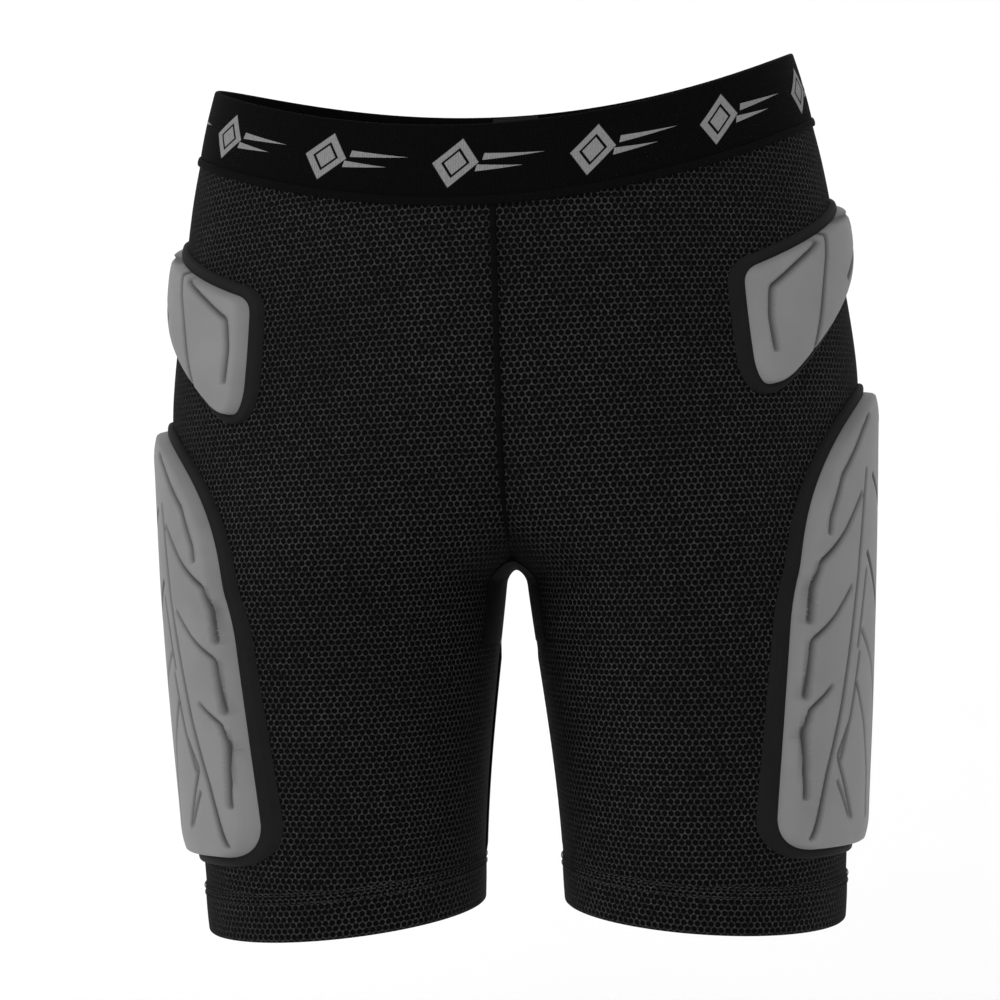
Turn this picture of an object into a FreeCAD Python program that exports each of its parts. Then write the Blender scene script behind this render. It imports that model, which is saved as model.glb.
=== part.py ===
import FreeCAD, Part
import math
import os
import Sketcher

# Padded impact shorts. The frame: +Z up, +X to the wearer's left, the front faces -Y.
# Heights are measured up from the lowest point of the leg hems while the pieces are made, and each
# finished piece is then placed with the origin in the middle of the waist opening.
# Everything is worked out for the wearer's left side and mirrored to the right.

V = FreeCAD.Vector
doc = FreeCAD.newDocument("impact_shorts")
sheet = doc.addObject("Spreadsheet::Sheet", "sizes")

# ---------------------------------------------------------------- driving dimensions, in mm
SIZES = {
    # The garment's girth, station by station: height, half width, reach to the front, to the back.
    "hem_level": 0, "hem_half_width": 166.5, "hem_front": 86, "hem_back": 73,
    "cuff_level": 60, "cuff_half_width": 170, "cuff_front": 89, "cuff_back": 78,
    "thigh_level": 110, "thigh_half_width": 173.5, "thigh_front": 93, "thigh_back": 85,
    "groin_level": 160, "groin_half_width": 176.5, "groin_front": 98, "groin_back": 95,
    "seat_level": 240, "seat_half_width": 181, "seat_front": 106, "seat_back": 119,
    "hip_level": 280, "hip_half_width": 182, "hip_front": 108, "hip_back": 126,
    "belly_level": 335, "belly_half_width": 175, "belly_front": 109, "belly_back": 123,
    "yoke_level": 390, "yoke_half_width": 166, "yoke_front": 107, "yoke_back": 109,
    "waist_level": 450, "waist_half_width": 151, "waist_front": 105, "waist_back": 103,
    # The gap between the legs.
    "crotch_level": 178, "crotch_half_gap": 5.8, "hem_half_gap": 21.5, "merge_level": 330,
    # Cloth and bands.
    "fabric_thickness": 1.8, "layer_gap": 0.25, "side_seam_back": 4,
    "waist_arc_radius": 245, "waist_arc_back": 38, "waist_arc_level": 205.5,
    "origin_level": 424, "waistband_height": 36, "waistband_proud": 0.6, "waistband_thickness": 2.4,
    "seam_cord_width": 3.2, "seam_cord_thickness": 1.2,
    "waist_seam_height": 4, "waist_seam_thickness": 0.6,
    "hem_tilt": 4.2, "hem_depth": 25, "hem_elastic_height": 18, "hem_elastic_thickness": 1.2,
    "hem_stitch_height": 1.6, "hem_stitch_thickness": 0.7,
    "gusset_half_width": 34, "gusset_half_length": 40, "gusset_low": 148, "gusset_high": 200,
    "join_half_width": 13, "tape_thickness": 0.9, "label_half_width": 16, "label_height": 40, "label_thickness": 0.6,
    "lining_thickness": 0.8,
    # Pads: layers from the cloth outwards.
    "binding_width": 6, "binding_thickness": 3.2, "pad_fit_gap": 0.5,
    "hip_foam": 5, "hip_shell": 3.2, "thigh_foam": 6, "thigh_shell": 4.2, "tail_foam": 6, "tail_shell": 3.6,
    # Hip pad outline, on a plane turned forward from the side.
    "hip_turn": 20, "hip_plane_reach": 90,
    "hip_nose": 38, "hip_nose_top": 331, "hip_nose_low": 253,
    "hip_belly": 72, "hip_belly_low": 343, "hip_heel": 112, "hip_heel_low": 346,
    "hip_crown": 106, "hip_crown_top": 381, "hip_brow": 50, "hip_brow_top": 367,
    "hip_corner": 14, "hip_inner_corner": 8,
    # Thigh pad outline, on a plane turned forward from the side.
    "thigh_turn": 15, "thigh_plane_reach": 95,
    "thigh_nose": 50, "thigh_shoulder": 154, "thigh_sweep": 120, "thigh_crown": 45, "thigh_heel": 100,
    "thigh_low_front": 41, "thigh_low_back": 31, "thigh_corner": 22, "thigh_inner_corner": 15,
    # Tailbone pad outline, on the back.
    "tail_plane_reach": 30, "tail_top": 344, "tail_top_half": 34, "tail_wide_level": 318, "tail_wide_half": 52,
    "tail_low_half": 26, "tail_low": 236, "tail_corner": 14, "tail_inner_corner": 8,
}
for row, (alias, value) in enumerate(SIZES.items(), start=1):
    sheet.set(f"A{row}", alias)
    sheet.set(f"B{row}", str(value))
    sheet.setAlias(f"B{row}", alias)
doc.recompute()


def size(alias):
    """A driving dimension as a number."""
    return float(sheet.get(alias))


# ---------------------------------------------------------------- the body form
STATIONS = ("hem", "cuff", "thigh", "groin", "seat", "hip", "belly", "yoke", "waist")
RING_POINTS = 12
FORM_BELOW = 14
FORM_ABOVE = 16
WIDEST = 500
SEWING = 0.001
CROTCH_EASE = 0.1


def girth(kind, level):
    """A girth value at any height: a smooth curve through the stations."""
    levels = [size(f"{name}_level") for name in STATIONS]
    values = [size(f"{name}_{kind}") for name in STATIONS]
    slopes = []
    for i in range(len(levels)):
        a = max(i - 1, 0)
        b = min(i + 1, len(levels) - 1)
        slopes.append((values[b] - values[a]) / (levels[b] - levels[a]))
    if level <= levels[0]:
        return values[0] + slopes[0] * (level - levels[0])
    if level >= levels[-1]:
        return values[-1] + slopes[-1] * (level - levels[-1])
    i = max(k for k in range(len(levels) - 1) if levels[k] <= level)
    span = levels[i + 1] - levels[i]
    f = (level - levels[i]) / span
    ease = f * f * (3 - 2 * f)
    start = f * (1 - f) ** 2 * span * slopes[i]
    end = f * f * (f - 1) * span * slopes[i + 1]
    return values[i] + ease * (values[i + 1] - values[i]) + start + end


def inner_reach(level):
    """Where the left half's inner side is: clear of the middle in the leg, and far past it in the torso."""
    gap = size("crotch_half_gap")
    crotch = size("crotch_level")
    if level <= crotch:
        f = max(0.0, (crotch - level) / (crotch - size("hem_level")))
        return gap + (size("hem_half_gap") - gap) * math.sin(min(f, 1.0) * math.pi / 2) ** 1.1
    f = min(1.0, (level - crotch) / (size("merge_level") - crotch))
    eased = f * f * (1 + CROTCH_EASE) / (f + CROTCH_EASE)
    return gap - (girth("half_width", level) + gap) * math.sin(eased * math.pi / 2)


def ring(level, offset, whole):
    """One section of the form: an ellipse, grown outwards by offset."""
    outer = girth("half_width", level)
    inner = -outer if whole else inner_reach(level)
    middle_x = (outer + inner) / 2
    reach_x = (outer - inner) / 2 + offset
    front = -girth("front", level)
    back = girth("back", level)
    middle_y = (front + back) / 2
    reach_y = (back - front) / 2 + offset
    points = []
    for i in range(RING_POINTS):
        turn = 2 * math.pi * i / RING_POINTS
        points.append(V(middle_x + reach_x * math.cos(turn), middle_y + reach_y * math.sin(turn), level))
    curve = Part.BSplineCurve()
    curve.interpolate(points, PeriodicFlag=True)
    return Part.Wire([curve.toShape()])


def form_levels():
    """Section heights of the left half: close together where the legs meet."""
    crotch = size("crotch_level")
    leg = crotch - size("hem_level")
    merge = size("merge_level") - crotch
    top = size("waist_level") + FORM_ABOVE
    levels = [size("hem_level") - FORM_BELOW]
    levels += [size("hem_level") + leg * f for f in (0.0, 0.17, 0.34, 0.51, 0.68, 0.83, 0.93, 1.0)]
    levels += [crotch + merge * f for f in (0.04, 0.09, 0.16, 0.27, 0.42, 0.6, 0.8, 1.0)]
    levels += [size("merge_level") + (top - size("merge_level")) * f for f in (0.25, 0.5, 0.75, 1.0)]
    return levels


def band_levels():
    """Section heights of the upper torso, where one loop goes all the way round."""
    low = size("merge_level")
    top = size("waist_level") + FORM_ABOVE
    return [low + (top - low) * f for f in (0.0, 0.25, 0.5, 0.75, 1.0)]


def layer(name, inner, outer, whole=False):
    """A hollow layer that follows the form, between two distances out from the cloth's outer face."""
    levels = band_levels() if whole else form_levels()
    outside = [ring(level, outer, whole) for level in levels]
    inside = [ring(level, inner, whole) for level in levels]
    faces = Part.makeLoft(outside, False, False).Faces
    faces += Part.makeLoft(inside, False, False).Faces
    for end in (0, -1):
        faces.append(Part.makeFace([outside[end], inside[end]], "Part::FaceMakerBullseye"))
    skin = Part.makeCompound(faces)
    skin.sewShape(SEWING)
    solid = Part.Solid(skin.Shells[0])
    if solid.Volume < 0:
        solid.reverse()
    obj = doc.addObject("Part::Feature", name)
    obj.Shape = solid
    return obj


# ---------------------------------------------------------------- document objects
nodes = []


def keep(obj, label):
    """Marks an object as a sub-part, placed from the waist opening; the label is the file's name."""
    obj.Label = label
    if obj.TypeId != "Part::Mirroring":
        obj.setExpression(".Placement.Base.z", "-sizes.origin_level")
    nodes.append(obj)
    return obj


def cut(name, base, tool):
    obj = doc.addObject("Part::Cut", name)
    obj.Base = base
    obj.Tool = tool
    return obj


def common(name, base, tool):
    obj = doc.addObject("Part::Common", name)
    obj.Base = base
    obj.Tool = tool
    return obj


def fuse(name, *shapes):
    obj = doc.addObject("Part::MultiFuse", name)
    obj.Shapes = list(shapes)
    return obj


def mirror(name, source):
    obj = doc.addObject("Part::Mirroring", name)
    obj.Source = source
    obj.Normal = V(1, 0, 0)
    return obj


def both_sides(name, source):
    """A piece that crosses the centre plane: the left half and its mirror image as one solid."""
    half = common(f"{name}_half", source, left_side)
    return fuse(name, half, mirror(f"{name}_mirrored", half))


def keep_pair(source, label):
    """The left piece, and the right piece made as its mirror image, which inherits its place."""
    keep(source, f"{label}_left")
    keep(mirror(f"{label}_mirrored", source), f"{label}_right")


def box(name, x, y, z):
    """A block between low and high on each axis, each an expression on the sheet."""
    obj = doc.addObject("Part::Box", name)
    for axis, length, (low, high) in (("x", "Length", x), ("y", "Width", y), ("z", "Height", z)):
        obj.setExpression(f".Placement.Base.{axis}", str(low))
        obj.setExpression(length, f"({high}) - ({low})")
    return obj


def waist_arc(name, drop):
    """The side view of the waist edge is an arc, so the edge is a cylinder lying across the body; drop lowers it."""
    obj = doc.addObject("Part::Cylinder", name)
    obj.setExpression("Radius", "sizes.waist_arc_radius")
    obj.Height = 2 * WIDEST
    obj.Placement = FreeCAD.Placement(V(-WIDEST, 0, 0), FreeCAD.Rotation(V(0, 1, 0), 90))
    obj.setExpression(".Placement.Base.y", "sizes.waist_arc_back")
    obj.setExpression(".Placement.Base.z", f"sizes.waist_arc_level - ({drop})")
    return obj


def hem_slab(name, low, high):
    """A slab across the left leg between two heights over the hem edge, tilted as the hem is."""
    obj = doc.addObject("Part::Box", name)
    reach = WIDEST / 2
    obj.Length = WIDEST
    obj.Width = WIDEST
    obj.setExpression("Height", f"({high}) - ({low})")
    obj.Placement = FreeCAD.Placement(V(0, -reach, 0), FreeCAD.Rotation(V(0, 1, 0), 1))
    obj.setExpression(".Placement.Rotation.Angle", "sizes.hem_tilt")
    slope = "sizes.hem_tilt * 1 deg"
    obj.setExpression(".Placement.Base.x",
                      f"sizes.hem_half_width - {reach} * cos({slope}) + ({low}) * sin({slope})")
    obj.setExpression(".Placement.Base.z",
                      f"sizes.hem_level + {reach} * sin({slope}) + ({low}) * cos({slope})")
    return obj


# ---------------------------------------------------------------- outlines of the pads
def bind(sketch, kind, geometry, point, name, expression):
    """A named distance from the sketch's origin to a point; a minus sign is a point on the far side."""
    negative = expression.startswith("-")
    value = expression.lstrip("-")
    ends = (geometry, point, -1, 1) if negative else (-1, 1, geometry, point)
    index = sketch.addConstraint(Sketcher.Constraint(kind, *ends, size(value)))
    sketch.renameConstraint(index, name)
    sketch.setExpression(f"Constraints.{name}", f"sizes.{value}")


def number(expression):
    """The signed number behind a name such as -hip_nose."""
    value = size(expression.lstrip("-"))
    return -value if expression.startswith("-") else value


def side_plane(sketch, turn, reach):
    """Sets a sketch on an upright plane at the left side, turned forward, its X towards the back."""
    upright = FreeCAD.Rotation(V(1, 1, 1), 120)
    turned = FreeCAD.Rotation(V(0, 0, 1), -size(turn)).multiply(upright)
    sketch.Placement = FreeCAD.Placement(turned.multVec(V(0, 0, size(reach))), turned)


def polygon(name, corners):
    """A closed outline of straight lines between named corners, in the sketch's plane."""
    sketch = doc.addObject("Sketcher::SketchObject", name)
    points = [V(number(across), number(up), 0) for across, up in corners]
    for start, end in zip(points, points[1:] + points[:1]):
        sketch.addGeometry(Part.LineSegment(start, end), False)
    for i, (across, up) in enumerate(corners):
        sketch.addConstraint(Sketcher.Constraint("Coincident", i - 1 if i else len(corners) - 1, 2, i, 1))
        bind(sketch, "DistanceX", i, 1, f"across_{i}", across)
        bind(sketch, "DistanceY", i, 1, f"up_{i}", up)
    return sketch


def thigh_outline(name):
    """Straight front edge, one long sweep up and back, a tight crown, a straight back edge and a flat foot."""
    front = -size("thigh_nose")
    heel = size("thigh_heel")
    sweep = size("thigh_sweep")
    crown = size("thigh_crown")
    shoulder = size("thigh_shoulder")
    turn = math.acos((heel - crown - front - sweep) / (sweep - crown))
    sweep_middle = V(front + sweep, shoulder, 0)
    crown_middle = sweep_middle + V(math.cos(turn), math.sin(turn), 0) * (sweep - crown)
    up = V(0, 0, 1)
    sketch = doc.addObject("Sketcher::SketchObject", name)
    low_front = V(front, size("thigh_low_front"), 0)
    low_back = V(heel, size("thigh_low_back"), 0)
    front_edge = sketch.addGeometry(Part.LineSegment(low_front, V(front, shoulder, 0)), False)
    sweep_arc = sketch.addGeometry(Part.ArcOfCircle(Part.Circle(sweep_middle, up, sweep), turn, math.pi), False)
    crown_arc = sketch.addGeometry(Part.ArcOfCircle(Part.Circle(crown_middle, up, crown), 0, turn), False)
    back_edge = sketch.addGeometry(Part.LineSegment(V(heel, crown_middle.y, 0), low_back), False)
    foot = sketch.addGeometry(Part.LineSegment(low_back, low_front), False)
    sketch.addConstraint(Sketcher.Constraint("Tangent", front_edge, 2, sweep_arc, 2))
    sketch.addConstraint(Sketcher.Constraint("Tangent", sweep_arc, 1, crown_arc, 2))
    sketch.addConstraint(Sketcher.Constraint("Tangent", crown_arc, 1, back_edge, 1))
    sketch.addConstraint(Sketcher.Constraint("Coincident", back_edge, 2, foot, 1))
    sketch.addConstraint(Sketcher.Constraint("Coincident", foot, 2, front_edge, 1))
    sketch.addConstraint(Sketcher.Constraint("Vertical", front_edge))
    sketch.addConstraint(Sketcher.Constraint("Vertical", back_edge))
    for arc, alias in ((sweep_arc, "thigh_sweep"), (crown_arc, "thigh_crown")):
        index = sketch.addConstraint(Sketcher.Constraint("Radius", arc, size(alias)))
        sketch.renameConstraint(index, alias)
        sketch.setExpression(f"Constraints.{alias}", f"sizes.{alias}")
    bind(sketch, "DistanceX", front_edge, 1, "nose", "-thigh_nose")
    bind(sketch, "DistanceY", front_edge, 1, "low_front", "thigh_low_front")
    bind(sketch, "DistanceY", front_edge, 2, "shoulder", "thigh_shoulder")
    bind(sketch, "DistanceX", back_edge, 2, "heel", "thigh_heel")
    bind(sketch, "DistanceY", back_edge, 2, "low_back", "thigh_low_back")
    return sketch


def shrunk(name, sketch, inset):
    """The outline moved inwards."""
    obj = doc.addObject("Part::Offset2D", name)
    obj.Source = sketch
    obj.Join = "Intersection"
    obj.setExpression("Value", f"-({inset})")
    return obj


def rounded_prism(name, outline, facing, corner):
    """The outline drawn out of the garment the way it faces, with its long corners rounded."""
    prism = doc.addObject("Part::Extrusion", f"{name}_block")
    prism.Base = outline
    prism.DirMode = "Custom"
    prism.Dir = facing
    prism.FaceMakerClass = "Part::FaceMakerBullseye"
    prism.LengthFwd = WIDEST / 2
    prism.Solid = True
    doc.recompute()
    corners = []
    for index, edge in enumerate(prism.Shape.Edges, start=1):
        if isinstance(edge.Curve, Part.Line) and abs(edge.Length - WIDEST / 2) < 1e-6:
            faces = prism.Shape.ancestorsOfType(edge, Part.Face)
            normals = [face.normalAt(*face.Surface.parameter(edge.valueAt(edge.FirstParameter))) for face in faces]
            if normals[0].getAngle(normals[1]) > math.radians(5):
                corners.append((index, size(corner), size(corner)))
    rounded = doc.addObject("Part::Fillet", name)
    rounded.Base = prism
    rounded.Edges = corners
    return rounded


# ---------------------------------------------------------------- the cutting tools
cloth = size("fabric_thickness")
gap = size("layer_gap")
BELOW_BAND = "sizes.waistband_height"

left_side = box("left_side", (0, WIDEST), (-WIDEST, WIDEST), (-WIDEST, 2 * WIDEST))
inside_of_arc = waist_arc("inside_of_arc", 0)
inside_of_seam = waist_arc("inside_of_seam", BELOW_BAND)
crown_block = box("crown_block", (-WIDEST, WIDEST), (-WIDEST, WIDEST), ("sizes.merge_level", 2 * WIDEST))
above_waist = cut("above_waist", crown_block, inside_of_arc)
above_seam = cut("above_seam", crown_block, inside_of_seam)
hem_zone = hem_slab("hem_zone", -WIDEST / 4, "sizes.hem_depth")
hem_ring_zone = hem_slab("hem_ring_zone", 0, "sizes.hem_depth")


# ---------------------------------------------------------------- cloth panels
def make_panels():
    """Front and back panel of each leg, the gusset between the legs, and the hem bands."""
    shell = common("cloth_left", layer("cloth_layer", -cloth, 0), left_side)
    upper = cut("cloth_below_band", shell, above_seam)
    leg = cut("cloth_above_hem", upper, hem_zone)
    patch = box("gusset_patch", (-WIDEST, "sizes.gusset_half_width"),
                ("-sizes.gusset_half_length", "sizes.gusset_half_length"),
                ("sizes.gusset_low", "sizes.gusset_high"))
    panels = cut("cloth_without_gusset", leg, patch)
    front = box("front_of_seam", (-WIDEST, WIDEST), (-WIDEST, "sizes.side_seam_back"), (-WIDEST, 2 * WIDEST))
    keep_pair(common("front_half", panels, front), "front_panel")
    keep_pair(cut("back_half", panels, front), "back_panel")
    keep(both_sides("gusset", common("gusset_run", leg, patch)), "crotch_gusset")
    keep_pair(common("hem_ring", shell, hem_ring_zone), "hem_band")


# ---------------------------------------------------------------- waistband
def make_waistband():
    """The elastic loop, the tape over its join, the seam under it and the blank label."""
    proud = size("waistband_proud")
    inner = proud - size("waistband_thickness")
    band = common("band_run", layer("band_layer", inner, proud, True), above_seam)
    keep(cut("band_loop", band, above_waist), "waistband_elastic")

    back = (0, WIDEST)
    tall = (0, 2 * WIDEST)
    face = inner - gap
    strip = box("join_strip", ("-sizes.join_half_width", "sizes.join_half_width"), back, tall)
    tape = common("tape_run", layer("tape_layer", face - size("tape_thickness"), face, True), strip)
    keep(cut("tape_top", common("tape_low", tape, above_seam), above_waist), "waistband_join_tape")

    seam = layer("seam_layer", proud + gap, proud + gap + size("waist_seam_thickness"), True)
    seam_top = waist_arc("seam_top", f"{BELOW_BAND} - sizes.waist_seam_height / 2")
    seam_low = waist_arc("seam_low", f"{BELOW_BAND} + sizes.waist_seam_height / 2")
    crown_seam = common("seam_top_edge", common("seam_crown", seam, crown_block), seam_top)
    keep(cut("seam_run", crown_seam, seam_low), "waist_seam")

    face = -cloth - 2 * gap
    label = layer("label_layer", face - size("label_thickness"), face, True)
    label_strip = box("label_strip", ("-sizes.label_half_width", "sizes.label_half_width"), back, tall)
    label_low = waist_arc("label_low", f"{BELOW_BAND} + sizes.label_height")
    hanging = common("label_hanging", common("label_run", label, label_strip), inside_of_seam)
    keep(cut("label_cut", hanging, label_low), "care_label")


# ---------------------------------------------------------------- seams and hems
def make_seams():
    """The raised seams: front rise, back rise and one inseam to each leg."""
    cord = layer("cord_layer", gap, gap + size("seam_cord_thickness"))
    half_cord = "sizes.seam_cord_width / 2"
    tall = (0, 2 * WIDEST)
    rise_top = waist_arc("rise_top", f"{BELOW_BAND} + sizes.waist_seam_height / 2 + sizes.pad_fit_gap")
    above_rise = cut("above_rise", crown_block, rise_top)
    zones = {"front": (-WIDEST, "-sizes.gusset_half_length"), "back": ("sizes.gusset_half_length", WIDEST)}
    for end, reach in zones.items():
        zone = box(f"{end}_rise_zone", (f"-({half_cord})", half_cord), reach, tall)
        run = cut(f"{end}_rise_run", common(f"{end}_rise_strip", cord, zone), above_rise)
        keep(both_sides(f"{end}_rise", run), f"{end}_rise_seam")
    along = (f"sizes.side_seam_back - {half_cord}", f"sizes.side_seam_back + {half_cord}")
    inner_side = (0, "sizes.gusset_half_width")
    inseam_zone = box("inseam_zone", inner_side, along, ("sizes.hem_level", "sizes.gusset_low"))
    keep_pair(cut("inseam_run", common("inseam_strip", cord, inseam_zone), hem_zone), "inseam")


def make_hems():
    """What is sewn into each hem: the grip elastic inside it and the row of cover stitching outside."""
    edge = "(sizes.hem_depth - sizes.hem_elastic_height) / 2"
    slot = hem_slab("elastic_slot", edge, f"{edge} + sizes.hem_elastic_height")
    face = -cloth - gap
    elastic = layer("elastic_layer", face - size("hem_elastic_thickness"), face)
    keep_pair(common("elastic_ring", elastic, slot), "hem_elastic")
    low = "sizes.hem_depth - 2 * sizes.hem_stitch_height"
    row = hem_slab("stitch_row", low, f"{low} + sizes.hem_stitch_height")
    thread = layer("thread_layer", gap, gap + size("hem_stitch_thickness"))
    keep_pair(common("stitch_ring", thread, row), "hem_stitching")


# ---------------------------------------------------------------- pads
def make_pad(kind, outline):
    """The layers of one pad: binding, foam core, moulded shell, and the lining behind it."""
    facing = outline.Placement.Rotation.multVec(V(0, 0, 1))
    corner = f"{kind}_inner_corner"
    inset = "sizes.binding_width"
    whole = rounded_prism(f"{kind}_outline", outline, facing, f"{kind}_corner")
    window = rounded_prism(f"{kind}_window", shrunk(f"{kind}_window_line", outline, inset), facing, corner)
    inset = f"{inset} + sizes.pad_fit_gap"
    core = rounded_prism(f"{kind}_core", shrunk(f"{kind}_core_line", outline, inset), facing, corner)
    foam_face = gap + size(f"{kind}_foam")
    shell_back = foam_face + gap
    lining_face = -cloth - gap
    binding = layer(f"{kind}_binding_layer", gap, gap + size("binding_thickness"))
    foam = layer(f"{kind}_foam_layer", gap, foam_face)
    shell = layer(f"{kind}_shell_layer", shell_back, shell_back + size(f"{kind}_shell"))
    lining = layer(f"{kind}_lining_layer", lining_face - size("lining_thickness"), lining_face)
    return {
        "binding": common(f"{kind}_binding_ring", binding, cut(f"{kind}_frame", whole, window)),
        "foam": common(f"{kind}_foam_patch", foam, core),
        "shell": common(f"{kind}_shell_patch", shell, core),
        "lining": common(f"{kind}_lining_patch", lining, window),
    }


def make_side_pads():
    """The hip pads and the thigh pads."""
    hip = polygon("hip_line", (("-hip_nose", "hip_nose_top"), ("-hip_nose", "hip_nose_low"),
                               ("hip_belly", "hip_belly_low"), ("hip_heel", "hip_heel_low"),
                               ("hip_crown", "hip_crown_top"), ("hip_brow", "hip_brow_top")))
    side_plane(hip, "hip_turn", "hip_plane_reach")
    thigh = thigh_outline("thigh_line")
    side_plane(thigh, "thigh_turn", "thigh_plane_reach")
    for kind, outline in (("hip", hip), ("thigh", thigh)):
        for piece, obj in make_pad(kind, outline).items():
            keep_pair(obj, f"{kind}_pad_{piece}")


def make_tail_pad():
    """The pad over the tailbone, symmetric about the centre plane, with a channel behind it for the seam."""
    tail = polygon("tail_line", (("-tail_top_half", "tail_top"), ("-tail_wide_half", "tail_wide_level"),
                                 ("-tail_low_half", "tail_low"), ("tail_low_half", "tail_low"),
                                 ("tail_wide_half", "tail_wide_level"), ("tail_top_half", "tail_top")))
    facing_back = FreeCAD.Rotation(V(-1, 0, 0), V(0, 0, 1), V(0, 1, 0), "ZXY")
    tail.Placement = FreeCAD.Placement(V(0, size("tail_plane_reach"), 0), facing_back)
    half_room = "sizes.seam_cord_width / 2 + sizes.pad_fit_gap"
    room_strip = box("seam_room_strip", (f"-({half_room})", half_room), (0, WIDEST), (0, 2 * WIDEST))
    room_layer = layer("seam_room_layer", 0, size("seam_cord_thickness") + 2 * gap)
    seam_room = common("seam_room", room_layer, room_strip)
    for piece, obj in make_pad("tail", tail).items():
        if piece in ("binding", "foam"):
            obj = cut(f"tail_{piece}_over_seam", obj, seam_room)
        keep(both_sides(f"tail_{piece}", obj), f"tailbone_pad_{piece}")


make_panels()
make_waistband()
make_seams()
make_hems()
make_side_pads()
make_tail_pad()
doc.recompute()

# ---------------------------------------------------------------- checks and files
for obj in doc.Objects:
    if "Invalid" in obj.State or "Error" in obj.State:
        raise RuntimeError(f"{obj.Label} failed: {obj.State}")
for node in nodes:
    if node.Shape.isNull() or not node.Shape.isValid():
        raise RuntimeError(f"{node.Label} has no valid shape")
    if not node.Shape.Solids:
        raise RuntimeError(f"{node.Label} is empty")

os.makedirs("parts", exist_ok=True)
for node in nodes:
    node.Shape.exportStep(f"parts/{node.Label}.step")
    print(node.Label, len(node.Shape.Solids), "solid(s)", round(node.Shape.Volume / 1000, 2), "cm3")
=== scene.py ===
import math

import bmesh
import bpy
import numpy as np
from mathutils import Matrix, Vector
from mathutils.geometry import delaunay_2d_cdt


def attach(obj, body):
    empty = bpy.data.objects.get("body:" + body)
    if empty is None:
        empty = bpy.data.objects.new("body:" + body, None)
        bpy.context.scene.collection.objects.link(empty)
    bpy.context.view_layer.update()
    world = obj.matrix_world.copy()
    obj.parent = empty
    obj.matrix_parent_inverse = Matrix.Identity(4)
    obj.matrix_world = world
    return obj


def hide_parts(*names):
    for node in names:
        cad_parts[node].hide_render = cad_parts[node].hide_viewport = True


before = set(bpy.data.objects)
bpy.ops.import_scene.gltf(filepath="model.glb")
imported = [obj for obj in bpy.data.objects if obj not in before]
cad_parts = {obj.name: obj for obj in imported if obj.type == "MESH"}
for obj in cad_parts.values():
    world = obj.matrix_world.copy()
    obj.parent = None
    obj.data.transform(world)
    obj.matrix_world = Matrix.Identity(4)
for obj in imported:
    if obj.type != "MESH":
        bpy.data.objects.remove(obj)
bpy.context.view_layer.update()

# Padded impact shorts: black mesh cloth with moulded grey pads. The frame is metres, +Z up, the front
# faces -Y, and the origin is in the middle of the waist opening. Shapes are worked out in millimetres, with
# heights measured up from the lowest point of the leg hems, for the wearer's left half, and mirrored.

MM = 0.001
ORIGIN_LEVEL = 424
SIDES = {"left": 1, "right": -1}

# ---------------------------------------------------------------- the form of the garment
# Height: half width, reach to the front, reach to the back.
GIRTHS = {
    0: (166.5, 86, 73), 60: (170, 89, 78), 110: (173.5, 93, 85), 160: (176.5, 98, 95),
    240: (181, 106, 119), 280: (182, 108, 126), 335: (175, 109, 123), 390: (166, 107, 109),
    450: (151, 105, 103),
}
CROTCH_LEVEL = 178
CROTCH_EASE = 0.1
CROTCH_HALF_GAP = 5.8
HEM_HALF_GAP = 21.5
MERGE_LEVEL = 330
SIDE_SEAM_BACK = 4
CLOTH = 1.8
HEM_TILT = math.radians(4.2)
HEM_DEPTH = 25
WAIST_ARC = 245
WAIST_ARC_BACK = 38
WAIST_ARC_LEVEL = 205.5
BAND_HEIGHT = 36
QUARTER = math.pi / 2
# Where the search for the waist's height starts, and how often each search is repeated.
FIRST_GUESS = 400.0
SETTLING = 6
HEM_SETTLING = 4
# The garment hangs a little unevenly: how far it rises towards the wearer's left, at each height.
LEAN_LEVELS = (0, 60, 140, 250, 450)
LEANS = (0, -0.006, 0.008, 0.026, 0.024)
# How much further back each pad sits than its outline, on either side.
PAD_SHIFTS = {"hip": {"left": -1.0, "right": 3.0}, "thigh": {"left": -1.0, "right": -4.0}}


def girth(level):
    """Half width, front reach and back reach at each height: smooth curves through the stations."""
    stations = np.array(list(GIRTHS), float)
    values = np.array(list(GIRTHS.values()), float)
    after = np.minimum(np.arange(len(stations)) + 1, len(stations) - 1)
    before = np.maximum(np.arange(len(stations)) - 1, 0)
    slopes = (values[after] - values[before]) / (stations[after] - stations[before])[:, None]
    level = np.asarray(level, float)
    held = np.clip(level, stations[0], stations[-1])
    i = np.clip(np.searchsorted(stations, held, side="right") - 1, 0, len(stations) - 2)
    span = (stations[i + 1] - stations[i])[..., None]
    f = (held - stations[i])[..., None] / span
    ease = f * f * (3 - 2 * f)
    start = f * (1 - f) ** 2 * span * slopes[i]
    end = f * f * (f - 1) * span * slopes[i + 1]
    curve = values[i] + ease * (values[i + 1] - values[i]) + start + end
    beyond = (level - held)[..., None] * np.where((level < held)[..., None], slopes[0], slopes[-1])
    curve = curve + beyond
    return curve[..., 0], curve[..., 1], curve[..., 2]


def inner_reach(level, half_width):
    """Where the left half's inner side is: clear of the middle in the leg, far past it in the torso."""
    level = np.asarray(level, float)
    down = np.clip((CROTCH_LEVEL - level) / CROTCH_LEVEL, 0, 1)
    leg = CROTCH_HALF_GAP + (HEM_HALF_GAP - CROTCH_HALF_GAP) * np.sin(down * QUARTER) ** 1.1
    up = np.clip((level - CROTCH_LEVEL) / (MERGE_LEVEL - CROTCH_LEVEL), 0, 1)
    eased = up * up * (1 + CROTCH_EASE) / (up + CROTCH_EASE)
    torso = CROTCH_HALF_GAP - (half_width + CROTCH_HALF_GAP) * np.sin(eased * QUARTER)
    return np.where(level <= CROTCH_LEVEL, leg, torso)


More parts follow.
